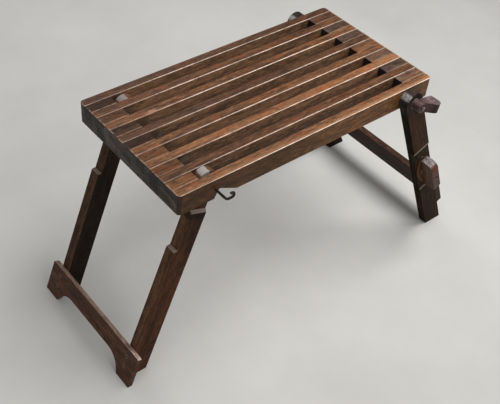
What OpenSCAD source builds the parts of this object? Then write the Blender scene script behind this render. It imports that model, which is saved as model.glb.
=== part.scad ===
// Folding slatted stool in dark hardwood with iron pins and bolts.
// The left pair of legs folds up into the outer slots of the seat.
// The right pair folds along the outer faces of the rails, under a thumb nut.
// Units are millimetres, +Z is up, and the stool stands on Z = 0.

/* [Seat] */
// Length of the seat from end to end
seat_l = 585; // [583:1:600]
// Height of the seat's top above the floor
seat_h = 425; // [405:1:427]
// Thickness of the seat, which is also the width of the legs
seat_t = 41; // [39:0.5:43]
// Width of each slat and rail
slat_w = 18; // [16:0.5:20]
// Width of each slot between two slats
slot_w = 22; // [20:0.5:25]
// Length of the spacers at the left end
left_block_l = 52; // [46:1:53]
// Length of the spacers at the right end
right_block_l = 60; // [52:1:61]
// Radius of the seat's four corners, seen from above
corner_r = 7; // [4:1:14]

/* [Finger notches] */
// Left end of the notch in each rail's lower edge
notch_x = 72; // [70:1:76]
// Length of the notch
notch_l = 47; // [42:1:56]
// Height of the notch at its highest point
notch_h = 19; // [14:1:19]
// Distance from the notch's left end to its highest point
notch_run = 10; // [9:0.5:14]
// Radius of the notch's inner corner
notch_r = 4; // [2:0.5:6]

/* [Left legs] */
// Splay of the left legs
left_splay = 20; // [16:0.5:20.5]
// Room between the round top of a left leg and the spacers
top_room = 1.5; // [1:0.1:3]
// Length of the rebate on the outer side of a left leg, from the pivot
rebate_l = 138; // [100:1:150]
// Length of the slimmer neck of a left leg, from the pivot
neck_l = 56; // [40:1:70]
// How far the neck is set back from the leg's outer face
neck_depth = 5; // [3:0.5:7]
// Radius of the collar between each neck and its rail
collar_r = 11; // [8:0.5:13]

/* [Foot board] */
// Height of the foot board, along the legs
board_h = 70; // [60:1:90]
// Thickness of the foot board
board_t = 9; // [7:0.5:14]
// Length of each of its two feet
foot_l = 41; // [36:1:60]
// Height of the arch between the feet
arch_h = 32; // [16:1:36]
// Length over which the arch curves down to a foot
arch_run = 42; // [38:1:55]

/* [Right legs] */
// Right pivot, from the end of the slots
right_pivot_in = 2; // [0:0.5:3]
// Splay of the right legs
right_splay = 24.4; // [20:0.2:25.2]
// Thickness of a right leg
right_leg_t = 20; // [17:0.5:24]
// Distance from the pivot to the lap joint's upper shoulder
lap_start = 156; // [145:1:165]
// Distance from the pivot to the lap joint's lower shoulder
lap_end = 286; // [282:1:300]
// Distance from the pivot to the lap joint's bolt
lap_bolt_s = 230; // [215:1:238]
// Length of the oval pad under the lap joint's nut
pad_l = 98; // [80:1:100]
// Thickness of the oval pad
pad_t = 3; // [2:0.5:5]
// Strip of the leg left bare on each side of the pad
pad_margin = 1; // [0.5:0.5:3]
// Distance from the pivot to the stretcher's upper edge
stretcher_s = 323; // [319:1:330]
// Height of the stretcher, along the legs
stretcher_w = 67; // [50:1:68]
// Thickness of the stretcher
stretcher_t = 12; // [10:0.5:18]

/* [Thumb nuts] */
// Radius of a thumb nut's hub
hub_r = 10; // [8:0.5:12]
// Length of a thumb nut's hub
hub_l = 18; // [12:0.5:20]
// Reach of the pivot nut's one wing
pivot_wing_l = 41; // [36:1:52]
// Thickness of the pivot nut's wing
pivot_wing_t = 19; // [14:1:20]
// Radius of the pivot wing's outer corner
pivot_corner_r = 11; // [8:0.5:12]
// Reach of the lap nut's block to each side of its bolt
lap_wing_l = 46; // [38:1:54]
// Thickness of the lap nut's block
lap_wing_t = 17; // [12:1:20]
// Radius of the lap block's outer corners
lap_corner_r = 14; // [9:0.5:15]
// How far the wings stand out from the leg
wing_out = 30; // [26:1:34]
// Radius of the wings' corners at their roots
wing_root_r = 4.5; // [3:0.5:5]
// Angle of the pivot nut's wing below the level
pivot_wing_drop = 10; // [0:1:60]

/* [Ironwork] */
// Radius of the left pivot pins
pin_r = 2.3; // [2:0.1:3]
// How far the front pin stands out before its bend
pin_reach = 29; // [25:1:40]
// Radius of the hook that ends the front pin
hook_r = 5; // [5:0.5:9]
// Radius of the bolts
bolt_r = 4; // [3:0.5:4.5]
// Radius of the bolts' round heads
head_r = 8.5; // [7:0.5:9]
// Height of the bolts' round heads
head_h = 3.5; // [2.5:0.5:4.5]
// Radius of the iron washers
washer_r = 11; // [9.5:0.5:13]
// Thickness of the iron washers
washer_t = 1.6; // [1:0.1:2.5]
// Width of the square nuts at the back
square_nut_w = 14; // [12:1:18]
// Thickness of the square nuts
square_nut_t = 6; // [5:0.5:8]
// How far a bolt stands out of its nut
bolt_spare = 3; // [1:0.5:5]
// Radius of the screw heads in the boards
screw_head_r = 4; // [3:0.5:5]

/* [Dowels] */
// Radius of the dowels through the ends of the seat
dowel_r = 5; // [4:0.5:6]
// Left dowel, from the left end of the seat
left_dowel_x = 26; // [18:1:30]
// Right dowel, from the right end of the seat
right_dowel_x = 28; // [20:1:34]
// Depth left solid at the outer face of each rail
dowel_cover = 6; // [4:1:9]

/* [Fits] */
// Gap on each side of a part that folds past another
side_gap = 0.4; // [0.3:0.05:0.5]
// Gap above and below a left leg that lies folded in its slot
fold_gap = 0.4; // [0.3:0.05:0.6]
// Gap between the folded left legs and the stretcher below them
stretcher_gap = 1; // [0.6:0.1:1.5]
// Gap between a nut and its washer
nut_gap = 0.3; // [0.2:0.05:0.5]
// Radial clearance of a pin or bolt in the part that turns on it
run_gap = 0.05; // [0.03:0.01:0.09]
// Gap between a left leg and the spacer that stops it
stop_gap = 0.3; // [0.2:0.1:0.5]

/* [Hidden] */

// Smoothness of true rounds
$fn = 64;
// Length by which a cut runs past the surface it opens
over = 1;

slat_count = 8;
pitch = slat_w + slot_w;
seat_w = (slat_count - 1) * pitch + slat_w;
seat_base = seat_h - seat_t;
leg_w = seat_t;
half_w = leg_w / 2;

// The left pivot lets the leg lie level in its slot, and the right one is a little lower
left_pivot_x = left_block_l + half_w + top_room;
left_pivot_z = seat_h - half_w - fold_gap;
slots_end = seat_l - right_block_l;
right_pivot_x = slots_end - right_pivot_in;
right_pivot_z = left_pivot_z - stretcher_gap;

// Distance along a leg's axis from its pivot to the floor
left_foot_s = left_pivot_z / cos(left_splay);
right_foot_s = right_pivot_z / cos(right_splay);
// Length that is drawn below the floor and cut off level with it
foot_spare = 60;

// A left leg leans on the lower edge of the spacer, so its rebate follows from its splay
stop_drop = left_pivot_z - seat_base;
stop_side = (half_w + top_room - stop_gap - stop_drop * tan(left_splay)) * cos(left_splay);

// Middle of the whole stool, which is its origin
foot_out_x = left_pivot_x - left_pivot_z * tan(left_splay) - (half_w + board_t) / cos(left_splay);
foot_far_x = right_pivot_x + right_pivot_z * tan(right_splay) + half_w / cos(right_splay);
front_y = -side_gap - right_leg_t - washer_t - nut_gap - wing_out;
back_y = seat_w + side_gap + right_leg_t + washer_t + nut_gap + square_nut_t + bolt_spare;
mid_x = (foot_out_x + foot_far_x) / 2;
mid_y = (front_y + back_y) / 2;

// Front faces of the pieces that stand in the two outer slots and outside the rails
slot_front = slat_w + side_gap;
slot_back = pitch - side_gap;
right_front = -side_gap - right_leg_t;

// Places a shape that is drawn from the seat's front left corner
module placed() {
  translate([-mid_x, -mid_y, 0]) children();
}

// Puts a shape that is drawn hanging from its pivot into the splayed pose
module hung(pivot_x, pivot_z, splay) {
  placed() translate([pivot_x, 0, pivot_z]) rotate([0, splay, 0]) children();
}

module left_hung() {
  hung(left_pivot_x, left_pivot_z, left_splay) children();
}

module right_hung() {
  hung(right_pivot_x, right_pivot_z, -right_splay) children();
}

// Turns a front piece into its twin at the back
module at_back() {
  translate([0, seat_w, 0]) mirror([0, 1, 0]) children();
}

module at_both() {
  children();
  at_back() children();
}

module on_floor() {
  difference() {
    children();
    under_floor();
  }
}

// A profile in X and Z, drawn out from y1 to y2
module along_y(y1, y2) {
  translate([0, y2, 0]) rotate([90, 0, 0]) linear_extrude(y2 - y1) children();
}

// A rod or hole along Y
module rod_y(r, y1, y2) {
  along_y(y1, y2) circle(r);
}

// Everything under the floor
module under_floor() {
  translate([-seat_l, -seat_w, -seat_h]) cube([3 * seat_l, 3 * seat_w, seat_h]);
}

// The seat

module plan_outline() {
  for (x = [corner_r, seat_l - corner_r]) {
    for (y = [corner_r, seat_w - corner_r]) translate([x, y]) circle(corner_r);
  }
  translate([corner_r, 0]) square([seat_l - 2 * corner_r, seat_w]);
  translate([0, corner_r]) square([seat_l, seat_w - 2 * corner_r]);
}

module dowel_holes() {
  for (x = [left_dowel_x, seat_l - right_dowel_x]) {
    translate([x, 0, seat_base + seat_t / 2]) rod_y(dowel_r, dowel_cover, seat_w - dowel_cover);
  }
}

function unit(p) = p / norm(p);

// The notch climbs steeply from its left end and runs out slowly to the right
module notch_outline() {
  peak = [notch_x + notch_run, seat_base + notch_h];
  left_dir = unit([-notch_run, -notch_h]);
  right_dir = unit([notch_l - notch_run, -notch_h]);
  half = acos(left_dir * right_dir) / 2;
  centre = peak + unit(left_dir + right_dir) * notch_r / sin(half);
  left_touch = peak + left_dir * notch_r / tan(half) - centre;
  right_touch = peak + right_dir * notch_r / tan(half) - centre;
  from = atan2(left_touch[1], left_touch[0]);
  to = atan2(right_touch[1], right_touch[0]);
  steps = 10;
  polygon(concat(
    [[notch_x, seat_base - over], [notch_x, seat_base]],
    [for (i = [0:steps]) let(a = from + (to - from) * i / steps) centre + notch_r * [cos(a), sin(a)]],
    [[notch_x + notch_l, seat_base], [notch_x + notch_l, seat_base - over]]));
}

module rail() {
  difference() {
    intersection() {
      translate([0, 0, seat_base]) linear_extrude(seat_t) plan_outline();
      translate([0, 0, seat_base]) cube([seat_l, slat_w, seat_t]);
    }
    along_y(-over, slat_w + over) notch_outline();
    dowel_holes();
    at_left_pivot() rod_y(pin_r, -over, slat_w + over);
    at_right_pivot() rod_y(bolt_r, -over, slat_w + over);
  }
}

module at_left_pivot() {
  translate([left_pivot_x, 0, left_pivot_z]) children();
}

module at_right_pivot() {
  translate([right_pivot_x, 0, right_pivot_z]) children();
}

module slat(i) {
  y = (slat_count - i) * pitch;
  placed() difference() {
    translate([0, y, seat_base]) cube([seat_l, slat_w, seat_t]);
    dowel_holes();
    if (i == 2 || i == slat_count - 1) {
      at_left_pivot() rod_y(pin_r, y - over, y + slat_w + over);
    }
  }
}

module spacer(i, x, l) {
  y = (slat_count - 1 - i) * pitch + slat_w;
  placed() difference() {
    translate([x, y, seat_base]) cube([l, slot_w, seat_t]);
    dowel_holes();
    if (x > 0 && (i == 1 || i == slat_count - 1)) bolt_head_pocket(i);
  }
}

// The bolt's head is let into the side of the spacer that meets the rail
module bolt_head_pocket(i) {
  rail_face = i == 1 ? seat_w - slat_w : slat_w;
  depth = head_h + side_gap;
  y1 = i == 1 ? rail_face - depth : rail_face;
  at_right_pivot() rod_y(head_r + side_gap, y1, y1 + depth);
}

module dowel(x) {
  placed() translate([x, 0, seat_base + seat_t / 2]) rod_y(dowel_r, dowel_cover, seat_w - dowel_cover);
}

// The left pivots

module plain_pin_shape(y1) {
  rod_y(pin_r, y1, pitch + slat_w);
}

// The front pin stands out of the rail, turns along it and ends in a hook
module hooked_pin_shape() {
  bend_r = 2 * pin_r;
  plain_pin_shape(bend_r - pin_reach);
  translate([bend_r, bend_r - pin_reach, 0]) rotate([0, 0, 180]) bend(bend_r, 90);
  translate([bend_r, -pin_reach, 0]) rotate([0, 90, 0]) cylinder(r = pin_r, h = hook_r);
  translate([bend_r + hook_r, -pin_reach, hook_r]) rotate([90, 0, 0]) rotate([0, 0, -90]) bend(hook_r, 215);
}

module bend(r, angle) {
  rotate_extrude(angle = angle) translate([r, 0]) circle(pin_r, $fn = 32);
}

// A wooden collar fills the room beside the neck of each left leg
module neck_collar_shape() {
  difference() {
    rod_y(collar_r, slat_w, slat_w + neck_depth);
    rod_y(pin_r, slat_w - over, slat_w + neck_depth + over);
  }
}

// The left legs

module left_leg_outline() {
  circle(half_w);
  translate([-half_w, -left_foot_s - foot_spare]) square([leg_w, left_foot_s + foot_spare]);
}

module rebate_outline() {
  lip = 3;
  polygon([[-leg_w, 0], [-stop_side, 0], [-stop_side, -rebate_l],
    [-half_w, -rebate_l - lip], [-leg_w, -rebate_l - lip]]);
}

module neck_outline() {
  polygon([[slot_front - over, leg_w], [slot_front + neck_depth, leg_w],
    [slot_front + neck_depth, -neck_l], [slot_front, -neck_l - neck_depth],
    [slot_front - over, -neck_l - neck_depth]]);
}

module left_leg_shape() {
  difference() {
    along_y(slot_front, slot_back) left_leg_outline();
    along_y(slot_front - over, slot_back + over) rebate_outline();
    translate([-leg_w, 0, 0]) rotate([90, 0, 90]) linear_extrude(2 * leg_w) neck_outline();
    rod_y(pin_r + run_gap, slot_front - over, slot_back + over);
    for (s = board_screws_s()) translate([-half_w, 0, -s]) screw_hole_x(board_screw_y, screw_l - board_t);
  }
}

// The foot board

screw_l = 30;
screw_r = 2;
board_screw_y = pitch - slot_w / 2;
board_foot_s = (left_pivot_z + (half_w + board_t) * sin(left_splay)) / cos(left_splay);
board_top_s = board_foot_s - board_h;

function board_screws_s() = [board_top_s + board_h * 0.25, board_top_s + board_h * 0.6];

module screw_hole_x(y, depth) {
  translate([0, y, 0]) rotate([0, 90, 0]) cylinder(r = screw_r, h = depth);
}

module arch_outline() {
  arc_r = (arch_run * arch_run + arch_h * arch_h) / (2 * arch_h);
  y1 = foot_l + arch_run;
  y2 = seat_w - foot_l - arch_run;
  arc_z = -board_foot_s + arch_h - arc_r;
  for (y = [y1, y2]) translate([y, arc_z]) circle(arc_r, $fn = 128);
  translate([y1, -board_foot_s - foot_spare]) square([y2 - y1, foot_spare + arch_h]);
}

module board_outline() {
  top_r = 4;
  difference() {
    union() {
      translate([0, -board_foot_s - foot_spare]) square([seat_w, board_h + foot_spare - top_r]);
      translate([top_r, -board_foot_s]) square([seat_w - 2 * top_r, board_h]);
      for (y = [top_r, seat_w - top_r]) translate([y, -board_top_s - top_r]) circle(top_r);
    }
    arch_outline();
  }
}

module foot_board_shape() {
  difference() {
    translate([-half_w - board_t, 0, 0]) rotate([90, 0, 90]) linear_extrude(board_t) board_outline();
    for (y = [board_screw_y, seat_w - board_screw_y], s = board_screws_s()) {
      translate([-half_w - board_t, 0, -s]) screw_cut_x(y, board_t);
    }
  }
}

module screw_cut_x(y, thick) {
  screw_hole_x(y, thick + over);
  translate([0, y, 0]) rotate([0, 90, 0]) cylinder(r1 = screw_head_r, r2 = screw_r, h = screw_head_r - screw_r);
}

module foot_board_screw_shapes() {
  for (y = [board_screw_y, seat_w - board_screw_y], s = board_screws_s()) {
    translate([-half_w - board_t, 0, -s]) screw_x(y, screw_l);
  }
}

module screw_x(y, length) {
  translate([0, y, 0]) rotate([0, 90, 0]) {
    cylinder(r = screw_r, h = length);
    cylinder(r1 = screw_head_r, r2 = screw_r, h = screw_head_r - screw_r);
  }
}

// The right legs

right_mid = right_front + right_leg_t / 2;

// The upper part ends in a tongue that fills the inner half of the lap
module right_leg_shape() {
  difference() {
    union() {
      along_y(right_front, -side_gap) {
        circle(half_w);
        translate([-half_w, -lap_start]) square([leg_w, lap_start]);
      }
      along_y(right_mid, -side_gap) translate([-half_w, -lap_end]) square([leg_w, lap_end]);
    }
    rod_y(bolt_r + run_gap, right_front - over, over);
    lap_bolt_hole();
    translate([0, 0, -lap_bolt_s]) rod_y(head_r, -side_gap - head_h, over);
  }
}

module lap_bolt_hole() {
  translate([0, 0, -lap_bolt_s]) rod_y(bolt_r, right_front - pad_t - over, over);
}

// The lower part ends in a tongue that fills the outer half, set back by the pad's thickness
module right_shin_shape() {
  difference() {
    translate([-half_w, 0, 0]) rotate([90, 0, 90]) linear_extrude(leg_w) shin_outline();
    lap_bolt_hole();
    for (s = stretcher_screws_s()) {
      translate([half_w, 0, -s]) mirror([1, 0, 0])
        screw_hole_x(stretcher_screw_y, stretcher_screw_l - stretcher_t);
    }
  }
}

module shin_outline() {
  foot = -right_foot_s - foot_spare;
  polygon([[right_front, foot], [right_front, -lap_end - pad_t], [right_front + pad_t, -lap_end],
    [right_front + pad_t, -lap_start], [right_mid, -lap_start], [right_mid, -lap_end],
    [-side_gap, -lap_end], [-side_gap, foot]]);
}

// The pad is an oval made of two arcs, so that its ends are as wide as the leg is flat
module pad_outline() {
  a = pad_l / 2;
  b = half_w - pad_margin;
  arc_r = (a * a + b * b) / (2 * b);
  intersection() {
    translate([arc_r - b, 0]) circle(arc_r, $fn = 128);
    translate([b - arc_r, 0]) circle(arc_r, $fn = 128);
    square([leg_w, 0.94 * pad_l], center = true);
  }
}

module pad_shape() {
  difference() {
    translate([0, 0, -lap_bolt_s]) along_y(right_front, right_front + pad_t) pad_outline();
    lap_bolt_hole();
  }
}

// The stretcher lies on the outer sides of the right legs, so that it folds under the seat

stretcher_screw_l = 30;
stretcher_screw_y = right_front + right_leg_t / 2;

function stretcher_screws_s() = [stretcher_s + stretcher_w * 0.25, stretcher_s + stretcher_w * 0.75];

module stretcher_shape() {
  difference() {
    translate([half_w, right_front, -stretcher_s - stretcher_w])
      cube([stretcher_t, seat_w - 2 * right_front, stretcher_w]);
    stretcher_screw_places() screw_cut_x(0, stretcher_t);
  }
}

module stretcher_screw_places() {
  for (y = [stretcher_screw_y, seat_w - stretcher_screw_y], s = stretcher_screws_s()) {
    translate([half_w + stretcher_t, y, -s]) mirror([1, 0, 0]) children();
  }
}

module stretcher_screw_shapes() {
  stretcher_screw_places() screw_x(0, stretcher_screw_l);
}

// Bolts, washers and nuts

washer_face = right_front - washer_t;
nut_face = washer_face - nut_gap;

module bolt_shape(y_head, y_end) {
  sphere_r = (head_r * head_r + head_h * head_h) / (2 * head_h);
  rod_y(bolt_r, y_end, y_head);
  translate([0, y_head, 0]) rotate([-90, 0, 0]) rotate_extrude() intersection() {
    translate([0, head_h - sphere_r]) circle(sphere_r, $fn = 96);
    square([head_r, head_h]);
  }
}

// The lap bolt's flat head is sunk into the inner face of the leg
module lap_bolt_shape(y_end) {
  rod_y(bolt_r, y_end, -side_gap);
  rod_y(head_r, -side_gap - head_h, -side_gap);
}

module washer_shape(bore) {
  difference() {
    rod_y(washer_r, washer_face, right_front);
    rod_y(bore, washer_face - over, right_front + over);
  }
}

module square_nut_shape(y_face) {
  difference() {
    along_y(y_face - square_nut_t, y_face) square(square_nut_w, center = true);
    rod_y(bolt_r, y_face - square_nut_t - over, y_face + over);
  }
}

// A wing lies in the plane of the bolt, from the height of its root out to a rounded corner
module wing_outline(root_x, root_out, reach, corner_r) {
  hull() {
    translate([root_x, -wing_root_r]) circle(wing_root_r, $fn = 32);
    translate([root_x, -root_out + wing_root_r]) circle(wing_root_r, $fn = 32);
    translate([reach - corner_r, -wing_out + corner_r]) circle(corner_r, $fn = 32);
    translate([reach - wing_root_r, -wing_root_r]) circle(wing_root_r, $fn = 32);
  }
}

module lap_wing() {
  translate([0, 0, -lap_wing_t / 2]) linear_extrude(lap_wing_t)
    wing_outline(0, wing_out, lap_wing_l, lap_corner_r);
}

module thumb_nut_bore() {
  rod_y(bolt_r + run_gap, nut_face - wing_out - over, nut_face + over);
}

// The pivot's nut has one wing beside its hub
module winged_nut_shape() {
  difference() {
    translate([0, nut_face, 0]) {
      rod_y(hub_r, -hub_l, 0);
      translate([0, 0, -pivot_wing_t / 2]) linear_extrude(pivot_wing_t)
        wing_outline(hub_r, hub_l, pivot_wing_l, pivot_corner_r);
    }
    thumb_nut_bore();
  }
}

// The lap joint's nut is one block with a hub at its foot
module block_nut_shape() {
  difference() {
    translate([0, nut_face, 0]) {
      rod_y(hub_r, -hub_l / 2, 0);
      lap_wing();
      mirror([1, 0, 0]) lap_wing();
    }
    thumb_nut_bore();
  }
}

module pivot_pose() {
  placed() at_right_pivot() children();
}

module lap_pose() {
  right_hung() translate([0, 0, -lap_bolt_s]) children();
}

thumb_end = nut_face - hub_l - bolt_spare;
lap_thumb_end = nut_face - wing_out + bolt_spare;
square_end = nut_face - square_nut_t - bolt_spare;
lap_square_end = washer_face - square_nut_t - bolt_spare;

color("sienna") placed() rail();  // front_rail
color("sienna") placed() at_back() rail();  // back_rail
color("peru") slat(2);  // slat_2
color("peru") slat(3);  // slat_3
color("peru") slat(4);  // slat_4
color("peru") slat(5);  // slat_5
color("peru") slat(6);  // slat_6
color("peru") slat(7);  // slat_7
color("tan") spacer(1, 0, left_block_l);  // left_spacer_1
color("tan") spacer(2, 0, left_block_l);  // left_spacer_2
color("tan") spacer(3, 0, left_block_l);  // left_spacer_3
color("tan") spacer(4, 0, left_block_l);  // left_spacer_4
color("tan") spacer(5, 0, left_block_l);  // left_spacer_5
color("tan") spacer(6, 0, left_block_l);  // left_spacer_6
color("tan") spacer(7, 0, left_block_l);  // left_spacer_7
color("tan") spacer(1, slots_end, right_block_l);  // right_spacer_1
color("tan") spacer(2, slots_end, right_block_l);  // right_spacer_2
color("tan") spacer(3, slots_end, right_block_l);  // right_spacer_3
color("tan") spacer(4, slots_end, right_block_l);  // right_spacer_4
color("tan") spacer(5, slots_end, right_block_l);  // right_spacer_5
color("tan") spacer(6, slots_end, right_block_l);  // right_spacer_6
color("tan") spacer(7, slots_end, right_block_l);  // right_spacer_7
color("burlywood") dowel(left_dowel_x);  // left_dowel
color("burlywood") dowel(seat_l - right_dowel_x);  // right_dowel
color("dimgray") placed() at_left_pivot() hooked_pin_shape();  // hooked_pivot_pin
color("dimgray") placed() at_back() at_left_pivot() plain_pin_shape(0);  // plain_pivot_pin
color("peru") placed() at_both() at_left_pivot() neck_collar_shape();  // neck_collars
color("saddlebrown") on_floor() left_hung() left_leg_shape();  // left_leg_front
color("saddlebrown") on_floor() left_hung() at_back() left_leg_shape();  // left_leg_back
color("brown") on_floor() left_hung() foot_board_shape();  // foot_board
color("gray") left_hung() foot_board_screw_shapes();  // foot_board_screws
color("gray") pivot_pose() bolt_shape(slat_w, thumb_end);  // pivot_bolt_front
color("gray") placed() at_back() at_right_pivot() bolt_shape(slat_w, square_end);  // pivot_bolt_back
color("dimgray") placed() at_back() at_right_pivot() square_nut_shape(nut_face);  // pivot_square_nut
color("brown") pivot_pose() rotate([0, pivot_wing_drop, 0]) winged_nut_shape();  // pivot_thumb_nut
color("silver") placed() at_both() at_right_pivot() washer_shape(bolt_r + run_gap);  // pivot_washers
color("saddlebrown") right_hung() right_leg_shape();  // right_leg_front
color("saddlebrown") right_hung() at_back() right_leg_shape();  // right_leg_back
color("sienna") on_floor() right_hung() right_shin_shape();  // right_shin_front
color("sienna") on_floor() right_hung() at_back() right_shin_shape();  // right_shin_back
color("peru") right_hung() stretcher_shape();  // stretcher
color("gray") right_hung() stretcher_screw_shapes();  // stretcher_screws
color("brown") right_hung() pad_shape();  // lap_pad_front
color("brown") right_hung() at_back() pad_shape();  // lap_pad_back
color("gray") lap_pose() lap_bolt_shape(lap_thumb_end);  // lap_bolt_front
color("gray") lap_pose() at_back() lap_bolt_shape(lap_square_end);  // lap_bolt_back
color("dimgray") lap_pose() at_back() square_nut_shape(washer_face);  // lap_square_nut
color("silver") lap_pose() at_both() washer_shape(bolt_r);  // lap_washers
color("brown") lap_pose() rotate([0, 90, 0]) block_nut_shape();  // lap_thumb_nut
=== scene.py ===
import math

import bpy
from mathutils import Matrix, Vector


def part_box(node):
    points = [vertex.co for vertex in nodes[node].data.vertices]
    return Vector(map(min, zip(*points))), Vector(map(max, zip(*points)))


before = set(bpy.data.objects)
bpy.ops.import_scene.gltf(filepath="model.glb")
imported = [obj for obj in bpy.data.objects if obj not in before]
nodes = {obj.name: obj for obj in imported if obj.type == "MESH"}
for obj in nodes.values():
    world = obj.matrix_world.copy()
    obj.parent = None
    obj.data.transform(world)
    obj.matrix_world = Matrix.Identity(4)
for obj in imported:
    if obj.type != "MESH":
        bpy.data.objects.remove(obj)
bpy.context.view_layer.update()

# Measures that the part's source gives, in metres and degrees. The source measures from
# the front left corner of the seat, and MID is the middle of the whole stool there.
MID = Vector((0.3119456, 0.1385, 0))
SEAT_TOP = 0.425
LEFT_ANGLE, RIGHT_ANGLE = 20, 24.4
LEFT_SPLAY, RIGHT_SPLAY = math.radians(LEFT_ANGLE), math.radians(RIGHT_ANGLE)
LEFT_PIVOT = Vector((0.074, 0, 0.4041)) - Vector((MID.x, 0, 0))
RIGHT_PIVOT = Vector((0.523, 0, 0.4031)) - Vector((MID.x, 0, 0))

# Directions down the legs, and square to them
LEFT_DOWN = Vector((-math.sin(LEFT_SPLAY), 0, -math.cos(LEFT_SPLAY)))
RIGHT_DOWN = Vector((math.sin(RIGHT_SPLAY), 0, -math.cos(RIGHT_SPLAY)))
LEFT_OUTWARD = (-math.cos(LEFT_SPLAY), 0, math.sin(LEFT_SPLAY))
RIGHT_INWARD = (-math.cos(RIGHT_SPLAY), 0, -math.sin(RIGHT_SPLAY))

# Turns of the grain, in degrees
ALONG_X = (0, 0, 0)
ALONG_Y = (0, 0, 90)
ALONG_LEFT_LEG = (0, 90 - LEFT_ANGLE, 0)
ALONG_RIGHT_LEG = (0, RIGHT_ANGLE - 90, 0)


# Camera at the photograph's angle: lengths in pixels, angles in degrees, its place in metres
# from the front left corner of the seat's top, and its sensor in millimetres

PHOTO_WIDTH, PHOTO_HEIGHT = 500, 404
FOCAL_LENGTH = 856.46
IMAGE_CENTRE = (220.63, 204.29)
AZIMUTH, ELEVATION, ROLL = -40.730, 43.506, 4.351
CAMERA_PLACE = (-0.58325649, -0.77815517, 0.91376290)
SENSOR_WIDTH = 36.0


def place_camera():
    data = bpy.data.cameras.new("camera")
    data.sensor_fit = "HORIZONTAL"
    data.sensor_width = SENSOR_WIDTH
    data.lens = FOCAL_LENGTH / PHOTO_WIDTH * SENSOR_WIDTH
    data.shift_x = (PHOTO_WIDTH / 2 - IMAGE_CENTRE[0]) / PHOTO_WIDTH
    data.shift_y = (IMAGE_CENTRE[1] - PHOTO_HEIGHT / 2) / PHOTO_WIDTH
    data.clip_end = 50
    camera = bpy.data.objects.new("camera", data)
    bpy.context.scene.collection.objects.link(camera)
    az, el, roll = (math.radians(angle) for angle in (AZIMUTH, ELEVATION, ROLL))
    back = Vector((math.sin(az) * math.cos(el), -math.cos(az) * math.cos(el), math.sin(el)))
    level = Vector((0, 0, 1)).cross(back).normalized()
    upright = back.cross(level)
    right = level * math.cos(roll) + upright * math.sin(roll)
    up = upright * math.cos(roll) - level * math.sin(roll)
    pose = Matrix((right, up, back)).transposed().to_4x4()
    x, y, z = CAMERA_PLACE
    pose.translation = Vector((x, y, z + SEAT_TOP)) - MID
    camera.matrix_world = pose
    bpy.context.scene.camera = camera


place_camera()


# Shader helpers. Every tone is red, green and blue from 0 to 255, as a screen shows it.

# What a step gives at its two levels when it falls
FALLING = (1.0, 0.0)


def lin(tone):
    out = []
    for v in tone:
        v = min(max(v, 0), 255) / 255
        out.append(v / 12.92 if v <= 0.04045 else ((v + 0.055) / 1.055) ** 2.4)
    return (*out, 1.0)


def luminance(tone):
    r, g, b, _ = lin(tone)
    return 0.2126 * r + 0.7152 * g + 0.0722 * b


def shaded(tone, shares):
    return [v * share for v, share in zip(tone, shares)]


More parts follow.
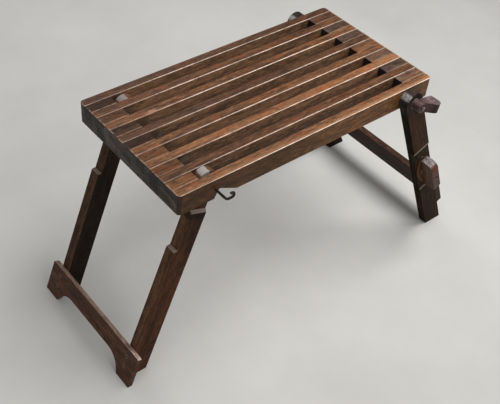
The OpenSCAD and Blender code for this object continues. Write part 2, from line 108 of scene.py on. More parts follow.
class Shader:
    def __init__(self, name):
        self.mat = bpy.data.materials.new(name)
        self.mat.use_nodes = True
        self.tree = self.mat.node_tree
        self.tree.nodes.clear()
        self.out = self.add("ShaderNodeOutputMaterial")
        self.bsdf = self.add("ShaderNodeBsdfPrincipled")
        self.link(self.bsdf.outputs[0], self.out.inputs["Surface"])
        # The point's place on the stool at rest and the way its surface faces, in any pose
        coord = self.add("ShaderNodeTexCoord")
        self.place = coord.outputs["Object"]
        self.facing = coord.outputs["Normal"]

    def add(self, kind, **props):
        node = self.tree.nodes.new(kind)
        for key, value in props.items():
            setattr(node, key, value)
        return node

    def link(self, a, b):
        self.tree.links.new(a, b)

    def put(self, socket, value):
        if isinstance(value, bpy.types.NodeSocket):
            self.link(value, socket)
        else:
            socket.default_value = value

    def mapped(self, source, loc=(0, 0, 0), rot=(0, 0, 0), scale=(1, 1, 1)):
        node = self.add("ShaderNodeMapping")
        self.link(source, node.inputs["Vector"])
        node.inputs["Location"].default_value = loc
        node.inputs["Rotation"].default_value = [math.radians(a) for a in rot]
        node.inputs["Scale"].default_value = scale
        return node.outputs[0]

    def noise(self, vector, scale, detail=4.0, rough=0.55, distortion=0.0):
        node = self.add("ShaderNodeTexNoise")
        self.link(vector, node.inputs["Vector"])
        node.inputs["Scale"].default_value = scale
        node.inputs["Detail"].default_value = detail
        node.inputs["Roughness"].default_value = rough
        node.inputs["Distortion"].default_value = distortion
        return node.outputs["Fac"]

    def math(self, op, a, b=0.0, clamp=False):
        node = self.add("ShaderNodeMath", operation=op, use_clamp=clamp)
        self.put(node.inputs[0], a)
        self.put(node.inputs[1], b)
        return node.outputs[0]

    def times(self, *values):
        out = values[0]
        for value in values[1:]:
            out = self.math("MULTIPLY", out, value)
        return out

    def swayed(self, value, noise, amount):
        """The value, made uneven by a noise around its middle."""
        return self.math("ADD", value, self.times(self.math("SUBTRACT", noise, 0.5), amount))

    def along(self, vector, direction, origin=None):
        if origin is not None:
            shift = self.add("ShaderNodeVectorMath", operation="SUBTRACT")
            self.link(vector, shift.inputs[0])
            shift.inputs[1].default_value = origin
            vector = shift.outputs[0]
        dot = self.add("ShaderNodeVectorMath", operation="DOT_PRODUCT")
        self.link(vector, dot.inputs[0])
        dot.inputs[1].default_value = direction
        return dot.outputs["Value"]

    def step(self, value, low, high, to=(0.0, 1.0)):
        node = self.add("ShaderNodeMapRange", interpolation_type="SMOOTHSTEP")
        self.link(value, node.inputs["Value"])
        node.inputs["From Min"].default_value = low
        node.inputs["From Max"].default_value = high
        node.inputs["To Min"].default_value = to[0]
        node.inputs["To Max"].default_value = to[1]
        return node.outputs["Result"]

    def inverse(self, mask):
        return self.step(mask, 0.0, 1.0, FALLING)

    def band(self, value, start, end, soft):
        rise = self.step(value, start - soft, start)
        return self.times(rise, self.step(value, end, end + soft, FALLING))

    def faces(self, direction, low, high):
        return self.step(self.along(self.facing, direction), low, high)

    def faces_front(self, low, high):
        return self.step(self.times(self.along(self.facing, (0, 1, 0)), -1.0), low, high)

    def mix(self, fac, a, b, blend="MIX"):
        node = self.add("ShaderNodeMix", data_type="RGBA", blend_type=blend)
        self.put(node.inputs[0], fac)
        self.put(node.inputs[6], a)
        self.put(node.inputs[7], b)
        return node.outputs[2]

    def ramp(self, fac, stops):
        node = self.add("ShaderNodeValToRGB")
        self.link(fac, node.inputs[0])
        elements = node.color_ramp.elements
        while len(elements) < len(stops):
            elements.new(0.5)
        for element, (place, tone) in zip(elements, stops):
            element.position = place
            element.color = lin(tone)
        return node.outputs[0]

    def convex(self, radius):
        """Above 0 within the radius of an outer edge."""
        bevel = self.add("ShaderNodeBevel", samples=6)
        bevel.inputs["Radius"].default_value = radius
        geometry = self.add("ShaderNodeNewGeometry")
        dot = self.add("ShaderNodeVectorMath", operation="DOT_PRODUCT")
        self.link(bevel.outputs[0], dot.inputs[0])
        self.link(geometry.outputs["True Normal"], dot.inputs[1])
        return self.math("SUBTRACT", 1.0, dot.outputs["Value"], clamp=True)

    def bump(self, height, strength, distance, normal=None):
        node = self.add("ShaderNodeBump")
        node.inputs["Strength"].default_value = strength
        node.inputs["Distance"].default_value = distance
        self.link(height, node.inputs["Height"])
        if normal is not None:
            self.link(normal, node.inputs["Normal"])
        return node.outputs[0]


ROUGHNESS, ROUGHNESS_SPREAD = 0.45, 0.34
DARK_GRAIN = (0.58, 0.52, 0.48)
PALE_GRAIN = (1.26, 1.26, 1.26)


class Wood(Shader):
    """Old waxed hardwood with its grain along one direction of the board."""

    def __init__(self, name, grain, seed, tone, streaks=1.0):
        super().__init__("wood_" + name)
        self.polish_and_sheen = 0.0
        local = self.mapped(self.place, (seed * 0.371, seed * 0.913, seed * 0.537), grain)
        other, third = (3.1, 1.7, 2.3), (1.3, 2.9, 0.7)
        broad = self.noise(self.mapped(local, scale=(4, 60, 60)), 1.0, 5.0, 0.62, 0.5)
        self.fine = self.noise(self.mapped(local, scale=(22, 420, 420)), 1.0, 4.0, 0.65, 0.2)
        self.pores = self.noise(self.mapped(local, scale=(90, 1700, 1700)), 1.0, 2.0, 0.5)
        self.patch = self.noise(self.mapped(local, scale=(18, 64, 64)), 1.0, 5.0, 0.68, 0.4)
        warm = self.noise(self.mapped(local, other, scale=(34, 105, 105)), 1.0, 5.0, 0.68, 0.3)
        mottle = self.noise(self.mapped(local, third, scale=(60, 250, 250)), 1.0, 5.0, 0.70)
        self.speck = self.noise(self.place, 650.0, 3.0, 0.7)
        self.chip = self.noise(self.place, 150.0, 5.0, 0.65)

        streak = self.math("ADD", self.times(broad, 0.60), self.times(self.fine, 0.40))
        spread = 0.13 / streaks
        self.colour = self.ramp(streak, [
            (0.5 - spread, shaded(tone, DARK_GRAIN)),
            (0.5, tone),
            (0.5 + spread, shaded(tone, PALE_GRAIN)),
        ])
        # Each stain: its pattern, the levels between which it comes or goes, its amounts
        # at these levels, and its shares of the wood's own tone
        stains = [
            (warm, 0.50, 0.64, (0.0, 0.70), (1.28, 0.96, 0.64)),
            (self.patch, 0.50, 0.66, (0.0, 0.70), (0.58, 0.58, 0.66)),
            (mottle, 0.50, 0.66, (0.0, 0.60), (1.50, 1.50, 1.55)),
            (mottle, 0.32, 0.48, (0.60, 0.0), (0.52, 0.46, 0.42)),
            (self.pores, 0.57, 0.70, (0.0, 0.45), (0.34, 0.30, 0.28)),
            (self.speck, 0.56, 0.74, (0.0, 0.35), (1.4, 1.4, 1.4)),
            (self.speck, 0.30, 0.44, (0.35, 0.0), DARK_GRAIN),
        ]
        for pattern, low, high, amounts, shares in stains:
            self.paint(self.step(pattern, low, high, amounts), shaded(tone, shares))

        # The grain alone, around 1, for tint
        level = self.add("ShaderNodeRGBToBW")
        self.link(self.colour, level.inputs[0])
        shade = self.step(level.outputs[0], 0.0, luminance(tone) * 2.2, (0.30, 2.05))
        self.grain = self.add("ShaderNodeCombineColor")
        for channel in range(3):
            self.link(shade, self.grain.inputs[channel])

    def dull(self, mask):
        """Where the mask is, the wood is rougher, without its waxed gloss."""
        self.polish_and_sheen = self.times(mask, 0.45)

    def paint(self, mask, tone, amount=1.0):
        if amount != 1.0:
            mask = self.times(mask, amount)
        self.colour = self.mix(mask, self.colour, lin(tone))

    def tint(self, mask, tone, amount=1.0):
        """Brings the wood towards a tone and keeps its grain."""
        toned = self.mix(1.0, lin(tone), self.grain.outputs[0], "MULTIPLY")
        self.colour = self.mix(self.times(mask, amount), self.colour, toned)

    def worn(self, tone, amount, radius=0.0022):
        edge = self.step(self.convex(radius), 0.03, 0.20)
        self.paint(self.times(edge, self.step(self.chip, 0.40, 0.62, (0.25, 1.0))), tone, amount)

    def done(self, specular=0.18):
        self.link(self.colour, self.bsdf.inputs["Base Color"])
        rough = self.math("ADD", self.times(self.fine, ROUGHNESS_SPREAD),
                          ROUGHNESS - ROUGHNESS_SPREAD / 2)
        self.link(self.math("ADD", rough, self.polish_and_sheen, clamp=True),
                  self.bsdf.inputs["Roughness"])
        self.bsdf.inputs["Specular IOR Level"].default_value = specular
        relief = self.math("ADD", self.times(self.fine, 0.6), self.times(self.pores, 0.4))
        lumps = self.bump(self.patch, 0.45, 0.0020)
        marks = self.bump(self.chip, 0.30, 0.0008, lumps)
        self.link(self.bump(relief, 0.45, 0.0006, marks), self.bsdf.inputs["Normal"])
        return self.mat


def even_shading():
    """A modifier's node tree for smooth faces and no stored normals, before a bevel."""
    tree = bpy.data.node_groups.new("even_shading", "GeometryNodeTree")
    for in_out in ("INPUT", "OUTPUT"):
        tree.interface.new_socket("Geometry", in_out=in_out, socket_type="NodeSocketGeometry")
    last = tree.nodes.new("NodeGroupInput").outputs[0]
    for name in ["custom_normal", "sharp_edge"]:
        remove = tree.nodes.new("GeometryNodeRemoveAttribute")
        remove.inputs["Name"].default_value = name
        tree.links.new(last, remove.inputs["Geometry"])
        last = remove.outputs["Geometry"]
    smooth = tree.nodes.new("GeometryNodeSetShadeSmooth")
    tree.links.new(last, smooth.inputs[0])
    tree.links.new(smooth.outputs[0], tree.nodes.new("NodeGroupOutput").inputs[0])
    return tree


SHADING = even_shading()
WELD_DISTANCE = 0.00001
FLAT_ANGLE, EDGE_ANGLE = math.radians(0.5), math.radians(40)


def dress(name, material, width=0.0013, segments=2):
    """Gives a node its material and rounds its edges by the width."""
    o = nodes[name]
    o.data.materials.clear()
    o.data.materials.append(material)
    o.modifiers.new("shading", "NODES").node_group = SHADING
    weld = o.modifiers.new("weld", "WELD")
    weld.merge_threshold = WELD_DISTANCE
    flat = o.modifiers.new("flat", "DECIMATE")
    flat.decimate_type = "DISSOLVE"
    flat.angle_limit = FLAT_ANGLE
    edge = o.modifiers.new("edge", "BEVEL")
    edge.width = width
    edge.segments = segments
    edge.limit_method = "ANGLE"
    edge.angle_limit = EDGE_ANGLE
    edge.harden_normals = True


# The seat: each board is its own piece of wood, with its front top edge bright from painted
# highlight and wear

# Tones of the boards
SMOKE = (49, 32, 20)
UMBER = (66, 46, 33)
WALNUT = (80, 54, 36)
RUSSET = (90, 60, 39)
CHESTNUT = (104, 71, 46)
AMBER = (121, 84, 56)
ASH = (76, 60, 50)
DUN = (98, 74, 58)
RAIL = (114, 79, 53)

# Tones of their front sides, with painted light and shade on the slot walls, and of the painted
# sheen band on the rail
SPACER_SIDE = (112, 80, 56)
SLAT_SIDE_LIT = (118, 86, 62)
SLAT_SIDE_LOW_SHADE = (92, 66, 47)
SLAT_SIDE_LEFT_SHADE = (62, 46, 38)
RAIL_SIDE = (98, 64, 33)
RAIL_SIDE_LEFT = (63, 39, 16)
RAIL_SHEEN = (184, 136, 98)

# Tones of the ends, darkened with painted shade, and of the upright corners
END_SMEARS_AND_SHADE = ((15, 12, 10), (32, 27, 23), (75, 67, 60))
END_SPECKS = (100, 92, 86)
LEFT_SLOT_END_SHADE = (30, 22, 16)
RIGHT_SLOT_END_SHADE = (34, 27, 22)
CORNER = (52, 38, 28)

# Tones of the lines along the top edges: painted highlights on the rounded edges, and wear
SLAT_LINE = (238, 216, 200)
RAIL_LINE = (255, 238, 222)
LEFT_SPACER_LINE = (156, 126, 104)
RIGHT_SPACER_LINE = (150, 120, 98)
LEFT_END_LINE = (172, 148, 138)
RIGHT_END_LINE = (178, 152, 130)
RIGHT_SLOT_LINE = (120, 112, 104)

# Where the tones and lines begin and end, in metres. Below the seat's top:
SIDE_LOW = (0.026, 0.010)
# From a board's left end:
SIDE_LEFT = (0.058, 0.092)
LINE_RISE = (0.030, 0.210)
LEFT_LIP = (0.0022, 0.0034)
# From its right end:
LINE_FALL = (0.030, 0.095)
RIGHT_LIP = (0.0018, 0.0032)
# From its front edge:
SLAT_LIP = (0.0014, 0.0026)
RAIL_LIP = (0.0010, 0.0020)
SHEEN_BAND = (0.003, 0.0095)
# Along x, from the middle of the stool:
SHEEN_ALONG_X = (-0.14, 0.06)

# Marks on single boards: the middle, the half lengths and the tone of each
MARKS = {
    "slat_3": ((-0.2235, 0.0655, 0.425), (0.0150, 0.0050, 0.0040), (164, 123, 99)),
    "slat_6": ((-0.2425, -0.0585, 0.413), (0.0075, 0.0030, 0.0080), (100, 93, 76)),
    "slat_4": ((-0.2360, 0.0215, 0.408), (0.0070, 0.0030, 0.0070), (90, 86, 79)),
}


class SeatBoard(Wood):
    """A rail, slat or spacer. Its dress is laid on in the order of these calls."""

    def __init__(self, name, seed, tone, line=SLAT_LINE, side=SPACER_SIDE, rail=False):
        super().__init__(name, ALONG_X, seed, tone)
        low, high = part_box(name)
        self.nx = self.along(self.facing, (1, 0, 0))
        self.ny = self.along(self.facing, (0, 1, 0))
        self.nz = self.along(self.facing, (0, 0, 1))
        self.top = self.step(self.nz, 0.5, 0.9)
        self.front = self.step(self.times(self.ny, -1.0), 0.80, 0.97)
        self.from_left = self.along(self.place, (1, 0, 0), (low[0], 0, 0))
        self.from_right = self.along(self.place, (-1, 0, 0), (high[0], 0, 0))
        self.from_front = self.along(self.place, (0, 1, 0), (0, low[1], 0))
        full_length = "spacer" not in name
        # Front sides take their tone; on the slats this lightens the slot walls as painted light
        self.tint(self.front, side, 0.85)
        if full_length and not rail:
            self.slot_wall()
        self.smeared_and_shaded_end()
        if rail:
            self.rail_sheen()
        self.tint(self.step(self.times(self.nx, self.ny, 2.0), 0.10, 0.45), CORNER, 0.9)
        self.front_line(line, full_length, rail)
        if not name.startswith("right_spacer"):
            self.left_end_line()
        if name.startswith("left_spacer"):
            # The slot's left end face: painted shade
            self.paint(self.step(self.nx, 0.7, 0.95), LEFT_SLOT_END_SHADE, 0.7)
        else:
            self.right_end_line()
        if name.startswith("right_spacer"):
            self.right_slot_end()
        if name in MARKS:
            self.mark(*MARKS[name])

    def ragged(self):
        return self.step(self.chip, 0.38, 0.60, (0.30, 1.0))

    # The slot walls: painted shade low down and towards the left end
    def slot_wall(self):
        height = self.along(self.place, (0, 0, 1))
        low = self.step(height, SEAT_TOP - SIDE_LOW[0], SEAT_TOP - SIDE_LOW[1], FALLING)
        self.tint(self.times(self.front, low), SLAT_SIDE_LOW_SHADE, 0.7)
        left = self.step(self.from_left, *SIDE_LEFT, FALLING)
        self.tint(self.times(self.front, left), SLAT_SIDE_LEFT_SHADE, 0.75)

    # The outer end faces: dark grey smears, partly painted shade, with pale specks
    def smeared_and_shaded_end(self):
        face = self.step(self.times(self.nx, -1.0), 0.60, 0.85)
        end_noise = self.noise(self.mapped(self.place, scale=(40, 18, 50)), 1.0, 6.0, 0.7, 0.6)
        end = self.ramp(end_noise, list(zip((0.36, 0.50, 0.62), END_SMEARS_AND_SHADE)))
        end = self.mix(self.step(self.speck, 0.40, 0.70, (0.0, 0.30)), end, lin(END_SPECKS))
        self.colour = self.mix(face, self.colour, end)

    # A painted sheen band along the rail's front top edge, stronger towards the right, and the
    # rail's front face darker towards the left
    def rail_sheen(self):
        inward = self.swayed(self.from_front, self.patch, -0.012)
        band = self.step(inward, *SHEEN_BAND, FALLING)
        polish_and_sheen = self.times(self.step(self.nz, 0.3, 0.6), band)
        along = self.step(self.along(self.place, (1, 0, 0)), *SHEEN_ALONG_X, (0.50, 1.0))
        left = self.times(self.front, self.step(along, 0.5, 1.0, FALLING))
        self.tint(left, RAIL_SIDE_LEFT, 0.85)
        self.paint(self.times(polish_and_sheen, along), RAIL_SHEEN, 0.52)

    # The line along the front top edge: a painted highlight on the rounded edge, and wear
    def front_line(self, tone, full_length, rail):
        lip = self.step(self.from_front, *(RAIL_LIP if rail else SLAT_LIP), FALLING)
        rounded = self.step(self.times(self.ny, self.nz, -2.0), 0.08, 0.35)
        line = self.math("MAXIMUM", rounded, self.times(self.top, lip))
        chipped, faded = (0.58, 0.66) if rail else (0.50, 0.55)
        strength = self.times(self.step(self.chip, 0.34, 0.54, (chipped, 1.0)),
                              self.step(self.patch, 0.40, 0.58, (1.0, faded)))
        if full_length:
            strength = self.times(strength, self.step(self.from_left, *LINE_RISE, (0.32, 1.0)))
            if not rail:
                fall = self.step(self.from_right, *LINE_FALL, (0.70, 1.0))
                strength = self.times(strength, fall)
        self.paint(self.times(line, strength), tone, 0.9)

    # The line along the left top edge: a painted highlight and wear
    def left_end_line(self):
        rounded = self.step(self.times(self.nx, self.nz, -2.0), 0.10, 0.45)
        lip = self.step(self.swayed(self.from_left, self.chip, 0.012), *LEFT_LIP, FALLING)
        line = self.math("MAXIMUM", rounded, self.times(self.top, lip))
        strength = self.step(self.chip, 0.44, 0.58, (0.05, 1.0))
        self.paint(self.times(line, strength), LEFT_END_LINE, 0.50)

    # The line along the right top edge: a painted highlight and wear
    def right_end_line(self):
        rounded = self.step(self.times(self.nx, self.nz, 2.0), 0.10, 0.40)
        lip = self.step(self.from_right, *RIGHT_LIP, FALLING)
        line = self.math("MAXIMUM", rounded, self.times(self.top, lip))
        self.paint(self.times(line, self.ragged()), RIGHT_END_LINE, 0.7)

    # The slot's right end face: painted shade, with its top edge line as painted highlight and
    # wear
    def right_slot_end(self):
        self.paint(self.step(self.times(self.nx, -1.0), 0.7, 0.95), RIGHT_SLOT_END_SHADE, 0.9)
        rounded = self.step(self.times(self.nx, self.nz, -2.0), 0.15, 0.5)
        self.paint(self.times(rounded, self.ragged()), RIGHT_SLOT_LINE, 0.8)

    def mark(self, middle, half, tone):
        """A ragged spot inside an ellipsoid."""
        shift = [-m / h for m, h in zip(middle, half)]
        scaled = self.mapped(self.place, shift, scale=[1 / h for h in half])
        reach = self.add("ShaderNodeVectorMath", operation="LENGTH")
        self.link(scaled, reach.inputs[0])
        torn = self.swayed(reach.outputs["Value"], self.chip, 2.4)
        self.paint(self.step(torn, 0.60, 1.20, FALLING), tone, 0.80)


SLATS = [RUSSET, CHESTNUT, WALNUT, CHESTNUT, AMBER, RUSSET]
LEFT_SPACERS = [SMOKE, WALNUT, UMBER, SMOKE, RUSSET, RUSSET, CHESTNUT]
RIGHT_SPACERS = [WALNUT, ASH, ASH, CHESTNUT, DUN, ASH, DUN]


def dress_seat():
    dress("back_rail", SeatBoard("back_rail", 1, WALNUT, side=SLAT_SIDE_LIT).done(0.16), 0.0026, 3)
    for k, tone in enumerate(SLATS, 2):
        name = f"slat_{k}"
        dress(name, SeatBoard(name, k, tone, side=SLAT_SIDE_LIT).done(0.16), 0.0018, 3)
    rail = SeatBoard("front_rail", 8, RAIL, RAIL_LINE, RAIL_SIDE, True)
    dress("front_rail", rail.done(0.16), 0.0026, 3)
    for i, (left, right) in enumerate(zip(LEFT_SPACERS, RIGHT_SPACERS)):
        name = f"left_spacer_{i + 1}"
        dress(name, SeatBoard(name, 20 + i, left, LEFT_SPACER_LINE).done(0.10), 0.0010)
        name = f"right_spacer_{i + 1}"
        dress(name, SeatBoard(name, 30 + i, right, RIGHT_SPACER_LINE).done(), 0.0012)


dress_seat()


# The legs: darker wood, pale on the up-facing shoulders from painted light and rubbing, with
# painted light and shade elsewhere

LEFT_LEG = (68, 42, 25)
LEFT_LEG_LIT_OUTER = (78, 56, 40)
LEFT_LEG_NECK_SHADE = (50, 32, 20)
LEFT_LEG_EDGE = (156, 112, 80)
LEFT_LEG_LIT_TOP = (96, 70, 52)
BACK_LEG_LIT_OUTER = (64, 46, 33)
BACK_LEG_FRONT_SHADE = (30, 23, 19)
SHOULDER_WEAR_AND_LIGHT = (140, 126, 117)
UNDER_SHOULDER_SHADOW = (20, 16, 14)
CROWN_HIGHLIGHT = (158, 150, 148)

RIGHT_LEG = (58, 38, 24)
RIGHT_LEG_INNER_SHADE = (27, 22, 18)
RIGHT_LEG_EDGE = (138, 108, 84)
RIGHT_LEG_TOP = (52, 44, 41)
RIGHT_LEG_DOME_HIGHLIGHT = (164, 161, 158)
UPPER_LAP_LINE = (150, 140, 124)
LOWER_LAP_LINE = (150, 136, 114)
RIGHT_LEG_LAP_SHADE = (48, 45, 36)
RIGHT_LEG_LOW = (40, 28, 20)

# Heights at which the left legs' round tops turn paler and take a painted highlight
TOP_HEIGHTS = (0.4120, 0.4160)
CROWN_HEIGHTS = (0.4165, 0.4200)


def left_leg(name, seed):
    s = Wood(name, ALONG_LEFT_LEG, seed, LEFT_LEG, streaks=1.2)
    back = name.endswith("back")
    down = s.along(s.place, LEFT_DOWN, LEFT_PIVOT)
    up_leg = s.along(s.facing, -LEFT_DOWN)
    outer = s.faces(LEFT_OUTWARD, 0.6, 0.9)
    # The outer sides painted lighter as painted light; on the back leg dimmer, with its front in
    # painted shade
    s.tint(outer, LEFT_LEG_LIT_OUTER, 0.9)
    if back:
        s.tint(outer, BACK_LEG_LIT_OUTER, 0.9)
        s.tint(s.faces_front(0.6, 0.9), BACK_LEG_FRONT_SHADE, 0.95)
    # Painted shade on the neck under the seat
    neck = s.band(down, 0.055, 0.110, 0.040)
    s.tint(s.times(neck, s.inverse(outer)), LEFT_LEG_NECK_SHADE, 0.7)
    s.worn(LEFT_LEG_EDGE, 0.55)
    # Up-facing shoulders: painted light and wear
    lit_worn_shoulder = s.times(s.step(up_leg, 0.30, 0.60), s.band(down, 0.050, 0.150, 0.004))
    s.paint(s.times(lit_worn_shoulder, s.step(s.chip, 0.30, 0.55, (0.6, 1.0))), SHOULDER_WEAR_AND_LIGHT, 0.95)
    # A painted shadow under the shoulders
    under_shadow = s.times(s.band(down, 0.063, 0.070, 0.006), s.step(up_leg, 0.2, 0.4, FALLING))
    s.paint(under_shadow, UNDER_SHOULDER_SHADOW, 0.7)
    # The round top painted lighter, and a painted highlight towards its left side
    height = s.along(s.place, (0, 0, 1))
    s.tint(s.step(height, *TOP_HEIGHTS), LEFT_LEG_LIT_TOP, 0.9)
    crown_x = LEFT_PIVOT.x - (0.0060 if back else 0.0035)
    across = s.math("ABSOLUTE", s.along(s.place, (1, 0, 0), (crown_x, 0, 0)))
    highlight_spot = s.step(s.swayed(across, s.chip, 0.006), 0.0066, 0.0092, FALLING)
    s.paint(s.times(s.step(height, *CROWN_HEIGHTS), highlight_spot), CROWN_HIGHLIGHT, 0.60 if back else 0.95)
    return s.done(0.05)


def right_wood(name, seed):
    """Wood of the right legs, dull and in painted shade on its inner side, and the way down from
    the pivot.
    """
    s = Wood(name, ALONG_RIGHT_LEG, seed, RIGHT_LEG, streaks=1.2)
    inner = s.faces(RIGHT_INWARD, 0.35, 0.85)
    s.tint(inner, RIGHT_LEG_INNER_SHADE, 0.95)
    s.dull(inner)
    s.worn(RIGHT_LEG_EDGE, 0.35)
    return s, s.along(s.place, RIGHT_DOWN, RIGHT_PIVOT)


def right_leg(name, seed):
    s, down = right_wood(name, seed)
    s.tint(s.step(down, 0.010, 0.034, FALLING), RIGHT_LEG_TOP, 0.85)
    # A painted highlight on the round top
    dome_highlight = s.times(s.faces((-0.75, -0.15, 0.64), 0.89, 0.975), s.step(down, 0.0, 0.012, FALLING))
    s.paint(s.times(dome_highlight, s.step(s.chip, 0.34, 0.56, (0.35, 1.0))), RIGHT_LEG_DOME_HIGHLIGHT, 0.8)
    line = s.band(down, 0.1525, 0.158, 0.0008)
    s.paint(s.times(s.faces_front(0.2, 0.6), line), UPPER_LAP_LINE, 0.9)
    return s.done(0.04)


def right_shin(name, seed):
    s, down = right_wood(name, seed)
    # Painted shade on the shin below the lap's shoulder
    s.tint(s.band(down, 0.150, 0.184, 0.006), RIGHT_LEG_LAP_SHADE, 0.9)
    s.tint(s.step(down, 0.285, 0.290), RIGHT_LEG_LOW, 0.9)
    line = s.band(down, 0.2862, 0.2880, 0.0008)
    s.paint(s.times(s.faces_front(0.2, 0.6), line), LOWER_LAP_LINE, 0.9)
    return s.done(0.02)


for k, end in enumerate(["front", "back"]):
    dress("left_leg_" + end, left_leg("left_leg_" + end, 41 + k), 0.0016, 3)
    dress("right_leg_" + end, right_leg("right_leg_" + end, 43 + k), 0.0030, 4)
    dress("right_shin_" + end, right_shin("right_shin_" + end, 45 + k), 0.0018, 3)


# The other pieces of wood

EDGE = (150, 120, 98)
BOARD = (72, 49, 35)
BOARD_TOP = (142, 118, 104)
BOARD_EDGE = (206, 180, 164)
BOARD_FRONT_END = (206, 184, 172)
STRETCHER = (50, 35, 24)
STRETCHER_LIT_TOP = (68, 48, 38)
NUT_EDGE = (128, 104, 98)
# The pivot nut: near-black sides as painted shade, and a lighter top as painted light
PIVOT_NUT = (44, 30, 27)
PIVOT_NUT_LIT_TOP = (116, 98, 98)
PIVOT_NUT_HUB = (70, 46, 43)
LAP_NUT = (86, 54, 44)
LAP_NUT_LIT_TOP = (132, 124, 122)
LAP_NUT_INNER = (70, 46, 28)
LAP_NUT_LOW = (66, 50, 48)
PAD = (84, 60, 40)
COLLAR = (40, 29, 23)


def plain_wood(name, grain, seed, tone, edge=EDGE, amount=0.5, radius=0.0022):
    s = Wood(name, grain, seed, tone, streaks=1.1)
    s.worn(edge, amount, radius)
    return s


def foot_board():
    s = plain_wood("foot_board", ALONG_Y, 48, BOARD, amount=0.35)
    up_leg = s.along(s.facing, -LEFT_DOWN)
    down = s.along(s.place, LEFT_DOWN, LEFT_PIVOT)
    upper = s.step(down, 0.385, 0.392, FALLING)
    top = s.step(up_leg, 0.35, 0.75)
    s.tint(s.times(top, upper), BOARD_TOP, 0.9)
    outward = s.along(s.facing, LEFT_OUTWARD)
    rounded = s.times(s.step(s.times(up_leg, outward, 2.0), 0.20, 0.70), upper)
    s.paint(s.times(rounded, s.step(s.chip, 0.36, 0.54, (0.45, 1.0))), BOARD_EDGE, 0.85)
    from_front = s.along(s.place, (0, 1, 0), (0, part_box("foot_board")[0][1], 0))
    near = s.step(from_front, 0.012, 0.030, FALLING)
    s.paint(s.times(top, upper, near, s.step(s.chip, 0.36, 0.56)), BOARD_FRONT_END, 0.85)
    return s.done(0.12)


def stretcher():
    s = plain_wood("stretcher", ALONG_Y, 47, STRETCHER, amount=0.3)
    # The top painted lighter as painted light
    s.tint(s.faces(-RIGHT_DOWN, 0.5, 0.9), STRETCHER_LIT_TOP, 0.9)
    return s.done(0.05)


# A wooden thumb nut whose top faces are painted lighter as painted light
def thumb_nut(name, grain, seed, tone, top, lit_top_tone):
    s = plain_wood(name, grain, seed, tone, NUT_EDGE, 0.5, 0.003)
    s.tint(s.faces(top, 0.50, 0.90), lit_top_tone, 0.9)
    return s


def pivot_nut():
    s = thumb_nut("pivot_thumb_nut", (0, 10, 0), 51, PIVOT_NUT, (0, 0, 1), PIVOT_NUT_LIT_TOP)
    hub = s.step(s.along(s.place, (1, 0, 0), RIGHT_PIVOT), 0.014, 0.028, FALLING)
    s.tint(hub, PIVOT_NUT_HUB, 0.75)
    return s.done(0.30)


def lap_nut():
    s = thumb_nut("lap_thumb_nut", ALONG_RIGHT_LEG, 52, LAP_NUT, -RIGHT_DOWN, LAP_NUT_LIT_TOP)
    inner = s.faces(RIGHT_INWARD, 0.5, 0.9)
    s.tint(inner, LAP_NUT_INNER, 0.9)
    down = s.along(s.place, RIGHT_DOWN, RIGHT_PIVOT)
    s.tint(s.times(s.step(down, 0.222, 0.246), s.inverse(inner)), LAP_NUT_LOW, 0.8)
    return s.done(0.12)


dress("foot_board", foot_board(), 0.0018, 3)
dress("stretcher", stretcher(), 0.0014, 3)
for k, name in enumerate(["lap_pad_front", "lap_pad_back"]):
    dress(name, plain_wood(name, ALONG_RIGHT_LEG, 49 + k, PAD, amount=0.3).done(), 0.0010)
dress("pivot_thumb_nut", pivot_nut(), 0.0028, 4)
dress("lap_thumb_nut", lap_nut(), 0.0025, 4)
for k, name in enumerate(["left_dowel", "right_dowel"]):
    dress(name, plain_wood(name, ALONG_Y, 53 + k, UMBER).done(), 0.0005)
dress("neck_collars", plain_wood("neck_collars", ALONG_Y, 55, COLLAR, amount=0.2).done(), 0.0005)


# Ironwork

METALLIC = 0.85
IRON_EDGE = 0.0003


def iron(name, seed, dark, pale, rust, rough=0.5):
    s = Shader(name)
    place = s.mapped(s.place, (seed * 0.17, seed * 0.23, seed * 0.31))
    pit = s.noise(place, 900.0, 4.0, 0.7)
    cloud = s.noise(place, 160.0, 5.0, 0.6)
    colour = s.ramp(pit, [(0.34, dark), (0.62, pale)])
    colour = s.mix(s.step(cloud, 0.50, 0.66, (0.0, 0.7)), colour, lin(rust))
    edge = s.step(s.convex(0.0010), 0.03, 0.2)
    colour = s.mix(s.times(edge, 0.6), colour, lin([v * 2 + 20 for v in pale]))
    s.link(colour, s.bsdf.inputs["Base Color"])
    s.bsdf.inputs["Metallic"].default_value = METALLIC
    s.link(s.step(pit, 0.3, 0.7, (rough - 0.1, rough + 0.2)), s.bsdf.inputs["Roughness"])
    s.link(s.bump(pit, 0.35, 0.0004), s.bsdf.inputs["Normal"])
    return s.mat


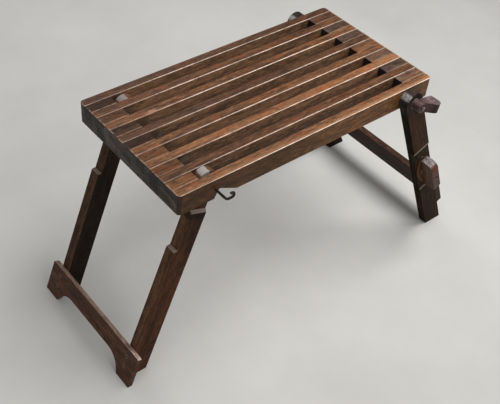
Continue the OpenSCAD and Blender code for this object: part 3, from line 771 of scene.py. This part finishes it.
OLD = iron("old_iron", 1, (24, 21, 20), (66, 61, 57), (60, 42, 32))
WORN = iron("worn_iron", 2, (70, 67, 64), (140, 134, 126), (84, 66, 52), rough=0.42)
SCREW = iron("worn_screw", 3, (52, 42, 34), (104, 90, 78), (70, 50, 38))
IRONWORK = {
    "hooked_pivot_pin": OLD,
    "plain_pivot_pin": OLD,
    "pivot_bolt_back": OLD,
    "lap_bolt_back": OLD,
    "pivot_square_nut": OLD,
    "lap_square_nut": OLD,
    "stretcher_screws": OLD,
    "foot_board_screws": SCREW,
    "pivot_washers": WORN,
    "lap_washers": WORN,
    "pivot_bolt_front": WORN,
    "lap_bolt_front": WORN,
}
for name, metal in IRONWORK.items():
    dress(name, metal, IRON_EDGE)


# Floor, light and world

FLOOR_REACH = 6.0
FLOOR_TONES = ((196, 194, 190), (208, 206, 202))
WORLD_STRENGTH = 0.22


def floor():
    mesh = bpy.data.meshes.new("floor")
    corners = [(-1, -1), (1, -1), (1, 1), (-1, 1)]
    mesh.from_pydata([(x * FLOOR_REACH, y * FLOOR_REACH, 0) for x, y in corners],
                     [], [(0, 1, 2, 3)])
    o = bpy.data.objects.new("floor", mesh)
    bpy.context.scene.collection.objects.link(o)
    s = Shader("floor")
    cloud = s.noise(s.place, 3.0, 5.0, 0.6)
    colour = s.ramp(cloud, list(zip((0.3, 0.7), FLOOR_TONES)))
    s.link(colour, s.bsdf.inputs["Base Color"])
    s.bsdf.inputs["Roughness"].default_value = 0.85
    mesh.materials.append(s.mat)


def lamp(name, place, target, size, watts):
    data = bpy.data.lights.new(name, "AREA")
    data.shape = "RECTANGLE"
    data.size, data.size_y = size
    data.energy = watts
    o = bpy.data.objects.new(name, data)
    o.location = place
    away = Vector(target) - Vector(place)
    o.rotation_euler = away.to_track_quat("-Z", "Y").to_euler()
    bpy.context.scene.collection.objects.link(o)


floor()
lamp("key", (0.75, -0.30, 2.2), (0, 0, 0.2), (1.1, 1.1), 36)
lamp("front", (0.2, -1.8, 2.0), (0, 0, 0.3), (1.2, 1.0), 16)
lamp("left", (-2.1, -0.5, 1.0), (-0.2, 0, 0.2), (1.0, 1.0), 8)
lamp("back", (0.3, 1.9, 1.6), (0, 0, 0.3), (1.8, 0.8), 10)

world = bpy.data.worlds.new("world")
bpy.context.scene.world = world
world.use_nodes = True
background = world.node_tree.nodes["Background"]
background.inputs[0].default_value = (1, 1, 1, 1)
background.inputs[1].default_value = WORLD_STRENGTH
bpy.context.scene.view_settings.view_transform = "Standard"
